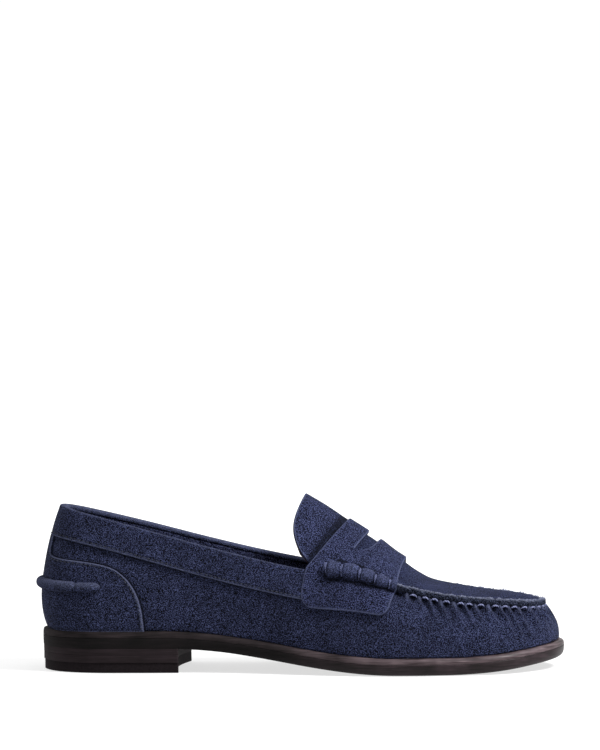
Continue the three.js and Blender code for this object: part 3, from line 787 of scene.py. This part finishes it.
def beefRoll(name, side):
    # A fat ellipse swept along the seam under five thread wraps, faintly wrinkled.
    run = np.linspace(rollStart + 0.01, rollEnd, 150)
    angle = circle(30)[None, :]
    middle, normal, across = rollFrame(run, side)
    radius = rollRadius(run)[:, None]
    base = strapLook["lift"] + strapLook["thick"] - 0.6
    round_ = np.stack([np.cos(angle), np.sin(angle), 0 * angle], -1)
    wrinkle = 1 + 0.025 * softNoise(middle[:, None] + 3 * round_, 3.2, 41)
    loops = swept(middle, normal, across, base + radius * 0.42 + radius * 0.92 * wrinkle * np.sin(angle),
                  radius * 1.08 * wrinkle * np.cos(angle))
    # Painted light and shade: paler towards the roll's top, painted shade in the nips at the wraps, and
    # painted shadow where it meets the strap.
    nipped = sum(hump((run - place) / 0.8) for place in rollWraps)[:, None]
    wearLightAndShade = 0.3 * np.sin(angle) - 0.9 * nipped - 1.2 * held(0.25 - np.sin(angle))
    tubePiece(f"beef_roll_{name}_suede", loops, strapSuede, wearLightAndShade=wearLightAndShade, replaces=[f"beef_roll_{name}"])
    # Each wrap is a slanted half-turn of two threads over the roll.
    over = np.linspace(-0.35, math.pi + 0.35, 26)
    strands = []
    for place in rollWraps:
        for twin in (-0.36, 0.36):
            at = place + twin + 0.9 * np.cos(over)
            spot, up, sideways = rollFrame(at, side)
            r = rollRadius(np.full_like(at, place))[:, None]
            heart = spot + up * (base + r * 0.42)
            r = r + 0.12
            arc = up * 0.92 * np.sin(over)[:, None] + sideways * 1.08 * np.cos(over)[:, None]
            centre = heart + r * arc
            outwards = unit(centre - heart)
            binormal = unit(np.cross(unit(np.gradient(centre, axis=0)), outwards))
            ring = roll["thread"] * np.stack([np.cos(circle(8)), np.sin(circle(8))])
            strands.append(swept(centre, outwards, binormal, *ring))
    threadStrands(f"roll_wraps_{name}", strands, wrapThread)


topStitch = {"length": 1.8, "radius": 0.2, "dive": 0.2}
topStitchPitch = 2.3
collar = {
    "drop": 15.2, "reach": 6.01, "foldTall": 1.9, "thick": 1.1,
    "under": 0.3, "out": 1.45, "inside": -3.9,      # from the wall's own surface, outward
}


def collarBand():
    # A strip up the wall that folds over the topline: straight part, half turn, and a short inner leg.
    i = np.linspace(-collar["reach"], collar["reach"], 420)
    tall = topHeight(i)
    low, high = wallAt(i, tall - collar["drop"]), wallAt(i, tall - collar["foldTall"])
    # The first three columns are a painted shadow strip on the wall below the strip's edge.
    s = np.r_[-0.07, -0.035, -0.003, borderSteps(13, 22, 1.2)[:-6], 1.0]
    v = low[:, None] + (high - low)[:, None] * s[None, :]
    points, normal = wallFrame(np.broadcast_to(i[:, None], v.shape), v)
    distance = s * (collar["drop"] - collar["foldTall"])
    bead = 0.3 * hump((distance - 0.5) / 0.3) - 0.25 * hump((distance - 1.35) / 0.4)
    lift = 0.36 + (collar["out"] - 0.36) * rounding(np.maximum(distance, 0), 0.45) + bead * (distance > 0)
    leg = points + normal * (lift[None, :] + 0.1 * softNoise(points, 20, 51))[..., None]
    pivot, sideways = wallFrame(i, high)
    up = unit(wall(i, high + 0.02) - pivot)
    angle = np.linspace(0, math.pi, 15)[1:]
    middle, half = (collar["out"] + collar["inside"]) / 2, (collar["out"] - collar["inside"]) / 2
    square = lambda wave: np.sign(wave) * np.abs(wave) ** 0.7
    fold = swept(pivot, sideways, up, middle + half * square(np.cos(angle)),
                 collar["foldTall"] * square(np.sin(angle)))
    foldInner = swept(pivot, sideways, up, middle + (half - collar["thick"]) * np.cos(angle),
                      (collar["foldTall"] - collar["thick"]) * np.sin(angle))
    # Pale raw edge, painted shade at the stitching and outside the edge, and a painted highlight along the
    # fold's top, varied a little along the band.
    wearLightShadeAmount = 0.8 + 0.25 * softNoise(points[:, :1], 3, 55)[:, :1]
    wearLightAndShade = np.concatenate([wearAndShadeOf(distance, 1.0) * wearLightShadeAmount, 0.55 * np.sin(angle)[None, :] ** 2 * wearLightShadeAmount], 1)
    sheetPiece("collar_band_suede", np.concatenate([leg, fold], 1),
               np.concatenate([points + normal * collar["under"], foldInner], 1), wallSuede,
               wearLightAndShade=wearLightAndShade, replaces=["collar_band"])
    line = np.linspace(-collar["reach"] + 0.1, collar["reach"] - 0.1, 500)
    path, up = wallFrame(line, wallAt(line, topHeight(line) - collar["drop"] + 1.35))
    places = stitchPath(path, up, topStitchPitch, 0, collar["out"] - 0.18)
    threadPiece("collar_topstitch", *places, topStitch, fineThread)


def innerShell():
    # Facing, quarter lining and vamp lining: sheets on the wall's inner side.
    plans = [
        ("collar_facing_suede", "collar_facing", -6.03, 6.03, lambda i: wallAt(i, topHeight(i) - 14.6),
         lambda i: wallAt(i, topHeight(i) - 2.2), -3.1, -3.9, facingSuede, "suede"),
        ("quarter_lining_leather", "quarter_lining", -6.05, 6.05, lambda i: np.full_like(i, 0.03),
         lambda i: wallAt(i, topHeight(i) - 14.0), -2.8, -3.75, liningLeather, "lining_leather"),
        ("vamp_lining_leather", "vamp_lining", 6.02, turn - 6.02, lambda i: np.full_like(i, 0.05),
         lambda i: np.full_like(i, 0.84), -2.8, -3.75, liningLeather, "lining_leather"),
    ]
    for name, node, first, last, low, high, outer, inner, material, slotName in plans:
        i = np.linspace(first, last, 260)
        s = borderSteps(20, 14, 0.9)
        v = low(i)[:, None] + (high(i) - low(i))[:, None] * s[None, :]
        points, normal = wallFrame(np.broadcast_to(i[:, None], v.shape), v)
        edge = 0.25 * (1 - rounding(np.minimum(s, 1 - s) * 20, 0.8))
        inside = points + normal * (inner + edge + 0.06 * softNoise(points, 12, 61))[..., None]
        sheetPiece(name, inside, points + normal * outer, material, replaces=[node], slot=slotName)


foxing = {
    "outline": [(20.6, 3.12), (33, 3.05), (42, 2.9), (48.5, 2.68), (52.5, 2.4), (54.6, 1.95), (55.6, 1.35),
                (56.6, 0.85), (58.4, 0.6), (67.6, 0.53)],     # height and half width in stations
    "low": 20.6, "high": 67.4,
    # crease is the width in mm of the painted shadow strip beside the outline.
    "crease": 0.9,
    "stationLong": 19.0,      # mm between stations round the heel
}


def backFoxing():
    # The heel cover and its narrow back strap: one sheet between its two mirrored outlines.
    z = foxing["low"] + (foxing["high"] - foxing["low"]) * borderSteps(47, 84, 0.9)
    s = 2 * borderSteps(100, 110, 0.9) - 1
    half = through(foxing["outline"], z)
    # Three more columns at each side are a painted shadow strip that follows the outline.
    slope = np.gradient(half, z) * foxing["stationLong"]
    crease = np.minimum(foxing["crease"] * np.sqrt(1 + slope ** 2), 9) / foxing["stationLong"]
    shadowSkirt = np.array([1, 0.4, 0.04])[:, None]
    i = np.concatenate([-half - shadowSkirt * crease, half[None, :] * s[:, None], half + shadowSkirt[::-1] * crease])
    height = np.broadcast_to(z[None, :], i.shape)
    points, normal = wallFrame(i, wallAt(i, height))
    outline = np.interp(np.abs(i), half[::-1], z[::-1])
    aside = (half[None, :] - np.abs(i)) * foxing["stationLong"]
    distance = np.minimum.reduce([
        np.maximum(aside, 0), np.maximum(outline - height, 0) + 0.02, height - foxing["low"] + 0.3])
    distance[:3], distance[-3:] = -foxing["crease"] * shadowSkirt, -foxing["crease"] * shadowSkirt[::-1]
    lift = 0.36 + 1.1 * rounding(np.maximum(distance, 0), 0.6)
    lift = lift + 0.1 * softNoise(points, 16, 71) * (distance > 0.3)
    sheetPiece("back_foxing_suede", points + normal * lift[..., None], points + normal * 0.3, wallSuede,
               wearLightAndShade=wearAndShadeOf(distance, 1.0), replaces=["back_foxing"])
    heights = np.linspace(foxing["low"] + 0.8, foxing["high"] - 0.6, 700)
    for name, side in (("medial", -1), ("lateral", 1)):
        edge = side * through(foxing["outline"], heights)
        path, up = wallFrame(edge, wallAt(edge, heights))
        places = stitchPath(path, up, topStitchPitch, side * 1.35, collar["out"] - 0.1)
        threadPiece(f"foxing_topstitch_{name}", *places, topStitch, fineThread)


rolledBand = {"z": 43.2, "reach": 2.28, "tall": 2.85, "out": 2.65, "crease": 1.72}


def heelRoll():
    # An ellipse swept round the heel on the foxing, slimmer past its crease, with round ends.
    i = np.linspace(-rolledBand["reach"], rolledBand["reach"], 260)
    side = np.abs(i)
    end = np.maximum(rounding(rolledBand["reach"] - side, 0.16), 0.03 ** 0.5)
    slim = 1 - 0.12 * smoothStep((side - rolledBand["crease"] + 0.05) / 0.12)
    crease = 1 - 0.3 * hump((side - rolledBand["crease"]) / 0.045)
    v = wallAt(i, rolledBand["z"] - 0.5 * side + 0.15 * np.sin(i * 3))
    middle, normal = wallFrame(i, v)
    up = unit(wall(i, v + 0.02) - middle)
    angle = circle(28)[None, :]
    size = (end * slim * crease)[:, None]
    size = size * (1 + 0.03 * softNoise(middle[:, None] + 2 * up[:, None] * np.cos(angle)[..., None], 6, 81))
    loops = swept(middle, normal, up, collar["out"] + 0.3 + rolledBand["out"] * size * np.sin(angle),
                  rolledBand["tall"] * size * np.cos(angle))
    # Painted light and shade: paler on its outer and upper side, and painted shadow where it meets the
    # foxing.
    wearLightAndShade = 0.3 * np.sin(angle) + 0.4 * np.cos(angle) - 1.3 * held(0.2 - np.sin(angle))
    piece = tubePiece("heel_roll_suede", loops, wallSuede, wearLightAndShade=np.broadcast_to(wearLightAndShade, loops.shape[:2]),
                      replaces=["heel_roll"])


tongueLook = {
    "thick": 1.35, "lining": 0.95,
    "hidden": -0.28,      # how far it runs on under the strap, in its own lengths
    "long": 28, "halfWide": 31,
}


def tongueFace(a, b):
    # Straight lines from just under the strap's rear edge to the free edge, an arch with a waved side.
    a, b = np.broadcast_arrays(np.asarray(a, float), np.asarray(b, float))
    front = apronFace(np.full_like(b, apronLook["first"]), 0.93 * b) + np.array([-2, 0, 1.2])
    side = np.abs(b)
    free = np.stack([131 + 0.4 * b ** 2 - 4.2 * np.sin(math.pi * b ** 2), 27 * b - 1,
                     87.4 - tongueLook["thick"] - 27.3 * side ** 1.88], -1)
    bend = -0.5 * np.sin(math.pi * held(a))
    point = front + (free - front) * a[..., None]
    point[..., 2] -= bend * (1 - side ** 2)
    return point


def tonguePieces():
    # Two sheets back to back: the suede and its lining.
    a = tongueLook["hidden"] + (1 - tongueLook["hidden"]) * borderSteps(28, 30)
    a, b = np.meshgrid(a, 2 * borderSteps(62, 70) - 1)
    points = tongueFace(a, b)
    normal = -normals(tongueFace, a, b)
    normal = np.where(normal[..., 2:3] < 0, -normal, normal)
    spread = np.linalg.norm(tongueFace(1, b[:, :1]) - tongueFace(0, b[:, :1]), axis=-1)
    distance = np.minimum((1 - a) * spread, (1 - np.abs(b)) * tongueLook["halfWide"])
    soft = 0.18 * softNoise(points, 16, 91) * rounding(distance, 4)
    edgeRound = 0.4 + 0.6 * rounding(distance, 0.8)
    suedeTop = points + normal * (tongueLook["thick"] * edgeRound + soft)[..., None]
    under = points - normal * (tongueLook["lining"] * edgeRound)[..., None]
    # Painted shadow on the tongue beside the strap's rear edge: dark near it and fading over about 9 mm.
    long = tongueLook["long"]
    shade = 0.55 * hump(np.maximum(a - 0.04, 0) * long / 1.5) + 0.3 * hump(np.maximum(a, 0) * long / 9)
    start, end = [((tongueFace(part, 0.0) + shift) / 1000).tolist() for part in (-0.05, 0.4)]
    for name, outer, inner, material, slotName, node in (
            ("tongue_suede", suedeTop, points, strapSuede, "suede", "tongue"),
            ("tongue_lining_leather", under, points - normal * 0.02, liningLeather, "lining_leather",
             "tongue_lining")):
        piece = sheetPiece(name, outer, inner, material, wearLightAndShade=wearAndShadeOf(distance) - shade, body=None,
                           replaces=[node], slot=slotName)
        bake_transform(piece)


wallPiece()
apronPiece()
seamLip()
seamStitches()
saddleStrap()
beefRoll("lateral", -1)
beefRoll("medial", 1)
collarBand()
innerShell()
backFoxing()
heelRoll()
tonguePieces()
print("upper made")

spine = {"from": 30, "to": 226}


def forwardOfHeel(i):
    # 0 over the heel and 1 from the waist forward.
    return smoothStep((onRing(soleRing, i)[..., 0] - 66) / 30)


def discPoints(i, fraction, inset, height):
    # Points between the shoe's middle line (fraction 0) and its inset sole edge (fraction 1), at a height.
    edge = onRing(soleRing, i)
    rim = edge - outward(i) * inset
    middleY = (edge[..., 1] + onRing(soleRing, turn - i)[..., 1]) / 2
    centre = np.stack([np.clip(edge[..., 0], spine["from"], spine["to"]), middleY, 0 * i], -1)
    inMiddle = held((edge[..., 0] - 235) / 24)
    centre[..., 1] = centre[..., 1] * (1 - inMiddle) + 1.5 * inMiddle
    point = centre + (rim - centre) * fraction
    point[..., 2] = soleLift(point[..., 0]) + height
    return point


def discPiece(name, path, materials, faces=None, **more):
    # A closed plate: path gives fraction, inset and height, from the underside's middle round to the top's.
    # Low insets, which round the sole's edge under, are small over the heel.
    i = np.linspace(0, turn, 520, endpoint=False)
    under = (0.1 + 0.9 * forwardOfHeel(i))[:, None]
    loops = np.stack([discPoints(i, f, inset * (under if h < 5 else 1), h) for f, inset, h in path], 1)
    quads = gridQuads(len(i), len(path), 0, True, False)
    slots = None if faces is None else np.broadcast_to(np.array(faces), quads.shape[:2]).ravel().tolist()
    return makePiece(name, loops, quads.reshape(-1, 4).tolist(), materials, slots=slots, **more)


def outsolePiece():
    # The edge is rounded under from its widest line, just below the welt; over the heel it stays upright.
    edge = [(1, 3.2, 0), (1, 2.2, 0.12), (1, 1.35, 0.5), (1, 0.7, 1.2), (1, 0.25, 2.4), (1, 0.05, 3.8),
            (1, 0.0, 5.0), (1, 0.12, 5.3), (1, 0.8, 5.35)]
    path = [(0, 3.2, 0), (0.5, 3.2, 0), (0.85, 3.2, 0), *edge, (0.8, 1.5, 5.35), (0, 1.5, 5.35)]
    discPiece("outsole_leather", path, [soleBottom, soleEdgeInk], [0] * 3 + [1] * 10, replaces=["outsole"],
              slot="sole_leather")


def weltPiece():
    # The thin upper band: a flat strip whose outer corner is bevelled round so that it catches the light.
    i = np.linspace(0, turn, 520, endpoint=False)
    # Inset from the sole's edge, and height.
    section = [(12, 5.36), (0.5, 5.36), (0.1, 5.42), (0.02, 5.7), (0.08, 6.3), (0.28, 6.9), (0.62, 7.5),
               (1.1, 8.0), (1.8, 8.4), (3.2, 8.55), (12, 8.45)]
    rim = onRing(soleRing, i)
    round_ = (0.3 + 0.7 * forwardOfHeel(i))[:, None]
    insets = [inset * round_ if inset < 3 else inset for inset, height in section]
    loops = np.stack([rim - outward(i) * inset for inset in insets], 1)
    loops[..., 2] = soleLift(loops[..., 0]) + np.array(section)[:, 1]
    quads = gridQuads(len(i), len(section), 0, True, True).reshape(-1, 4).tolist()
    makePiece("welt_leather", loops, quads, weltEdgeInk, replaces=["welt"], slot="sole_leather")


def heelLayer(name, low, high, inset, material, node, slotName):
    # One layer of the heel: the sole's outline to the breast, a hollow curve across, and softened corners.
    i = np.linspace(-sole["breast"], sole["breast"], 220)
    rim = onRing(soleRing, i) - outward(i) * inset
    across = np.linspace(0, 1, 42)[1:-1]
    first, last = rim[-1], rim[0]
    breast = first + (last - first) * across[:, None]
    breast[:, 0] -= 3.4 * np.sin(math.pi * across)
    loop = np.concatenate([rim, breast])[:, :2]
    centre = np.array([36.0, loop[:, 1].mean()])
    soft = 0.12
    steps = [(soft * 2, low), (soft * 0.6, low + soft * 0.6), (0, low + soft * 2), (0, high - soft),
             (soft * 0.3, high - soft * 0.3), (soft, high)]
    inward = unit(centre - loop)
    loops = np.stack([np.c_[loop + inward * d, np.full(len(loop), z)] for d, z in steps], 0)
    tubePiece(name, loops, material, replaces=[node], slot=slotName)


footFoam = speckled("latexFootbedFoam", "#b9ae86", "#ddd4b0", 0.9, 0.95)
fibreBoard = speckled("pressedFibreBoard", "#7d6142", "#a6875f", 0.7, 0.85)
corkFiller = speckled("corkFiller", "#6b4a2c", "#a67c4f", 2.2, 0.95, 0.0003)
springSteel = speckled("rolledSpringSteel", "#7e8186", "#9a9da2", 0.5, 0.38, 0.00003, 1.0, (0.08, 1.0, 1.0))
drawnBrass = speckled("drawnBrassWire", "#8c7440", "#b0965a", 0.4, 0.35, 0.00003, 1.0)

outsolePiece()
weltPiece()
heelLayer("heel_top_rubber", 0.0, 4.95, 0.75, topPieceRubber, "heel_top_piece", "heel_rubber")
heelLayer("heel_lift_lower_leather", 4.96, 8.8, 0.3, heelStack, "heel_lift_lower", "sole_leather")
heelLayer("heel_lift_upper_leather", 8.81, 12.02, 0.25, heelStack, "heel_lift_upper", "sole_leather")
footbed = discPiece(
    "footbed_foam_pad", [(0, 7.4, 11.1), (1, 8.6, 11.1), (1, 7.5, 11.5), (1, 7.5, 12.8), (1, 8.4, 13.25),
                         (0.6, 8.4, 13.3), (0, 8, 13.3)], footFoam, replaces=["footbed_foam"], slot="foam")
discPiece(
    "sock_leather", [(0, 7, 13.55), (0.9, 7, 13.6), (1, 6.3, 14.2), (1, 6.1, 14.9), (1, 6.5, 15.3),
                     (1, 7.6, 15.0), (0.9, 7, 14.75), (0.5, 7, 14.65), (0, 7, 14.65)], sockLeather,
    replaces=["sock_lining"], slot="lining_leather")
# The hidden pieces keep their plain CAD shapes, each in its own material.
hidden = {
    "insole_board": fibreBoard, "heel_counter": fibreBoard, "toe_puff": fibreBoard,
    "bottom_filler": corkFiller, "shank": springSteel, "apron_lining": liningLeather,
    **{f"heel_nail_{k}": drawnBrass for k in range(1, 6)},
}
for nodeName, material in hidden.items():
    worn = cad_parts[nodeName].data.materials
    worn.clear()
    worn.append(material)
print("bottom made")

studio = {
    "azimuth": 5.5, "elevation": 5.1, "roll": -0.63, "distance": 2.5, "lens": 240.4,
    "aimAlong": 0.002, "aimUp": 0.1023,   # from the shoe's middle, so that it stands low in the frame
    "room": (0.3, 1.02),      # brightness of the room in front of the shoe and of the wall behind it
    "key": 20.0, "top": 6.0,  # watts
    "floorGlow": (0.68, 1.1),  # a light table, under the shoe and from 0.6 m away, so shadows on it stay pale
}
scene = bpy.context.scene
scene.view_settings.view_transform = "Standard"
floorMesh = bpy.data.meshes.new("floor")
corners = [(6 * x, 6 * y, -0.0002) for x, y in ((-1, -1), (1, -1), (1, 1), (-1, 1))]
floorMesh.from_pydata(corners, [], [[0, 1, 2, 3]])
floor = bpy.data.objects.new("floor", floorMesh)
scene.collection.objects.link(floor)
floorMaterial, floorTree, floorSurface, floorPlace = startMaterial("paleLightTable", {
    "Base Color": linear("#949494"), "Roughness": 0.9, "Specular IOR Level": 0.1,
    "Emission Color": linear("#ffffff")})
away = addNode(floorTree, "ShaderNodeVectorMath", {0: floorPlace}, operation="LENGTH").outputs["Value"]
floorTree.links.new(remap(floorTree, away, (0.2, 0.6), studio["floorGlow"]),
                    floorSurface.inputs["Emission Strength"])
floorMesh.materials.append(floorMaterial)
floor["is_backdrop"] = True

world = bpy.data.worlds.new("studio")
scene.world = world
world.use_nodes = True
air = world.node_tree
facing = addNode(air, "ShaderNodeSeparateXYZ", {0: addNode(air, "ShaderNodeTexCoord").outputs["Generated"]})
air.links.new(remap(air, facing.outputs["Y"], (-0.7, 0.5), studio["room"]),
              air.nodes["Background"].inputs["Strength"])
air.nodes["Background"].inputs["Color"].default_value = (1, 1, 1, 1)


def areaLight(name, place, target, size, power):
    # A round softbox of that diameter in metres, aimed at the target.
    lamp = bpy.data.lights.new(name, "AREA")
    lamp.shape, lamp.size, lamp.energy = "DISK", size, power
    made = bpy.data.objects.new(name, lamp)
    scene.collection.objects.link(made)
    made.location = place
    direction = Vector(target) - Vector(place)
    made.rotation_euler = direction.to_track_quat("-Z", "Y").to_euler()


areaLight("keySoftbox", (0.72, -0.34, 0.86), (0.03, 0, 0.03), 0.3, studio["key"])
areaLight("topSoftbox", (0.05, -0.1, 1.25), (0, 0, 0), 1.2, studio["top"])

camera = bpy.data.objects.new("camera", bpy.data.cameras.new("camera"))
scene.collection.objects.link(camera)
camera.data.sensor_width = 36
camera.data.lens = studio["lens"]
azimuth, elevation = math.radians(studio["azimuth"]), math.radians(studio["elevation"])
toCamera = np.array([
    math.sin(azimuth) * math.cos(elevation), -math.cos(azimuth) * math.cos(elevation), math.sin(elevation)])
middle = np.array([0, 0, (cadBox[0][2] + cadBox[1][2]) / 2])
cameraPlace = middle + toCamera * studio["distance"]
aim = middle + np.array([studio["aimAlong"], 0, studio["aimUp"]])
camera.location = cameraPlace.tolist()
level = Vector((aim - cameraPlace).tolist()).to_track_quat("-Z", "Y").to_matrix()
tilt = Matrix.Rotation(math.radians(studio["roll"]), 3, "Z")
camera.rotation_euler = (level @ tilt).to_euler()
camera.data.clip_end = 60
scene.camera = camera
print("stage set")

({"cad": [list(corner) for corner in cadBox],
           "visual": [list(corner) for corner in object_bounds()]})
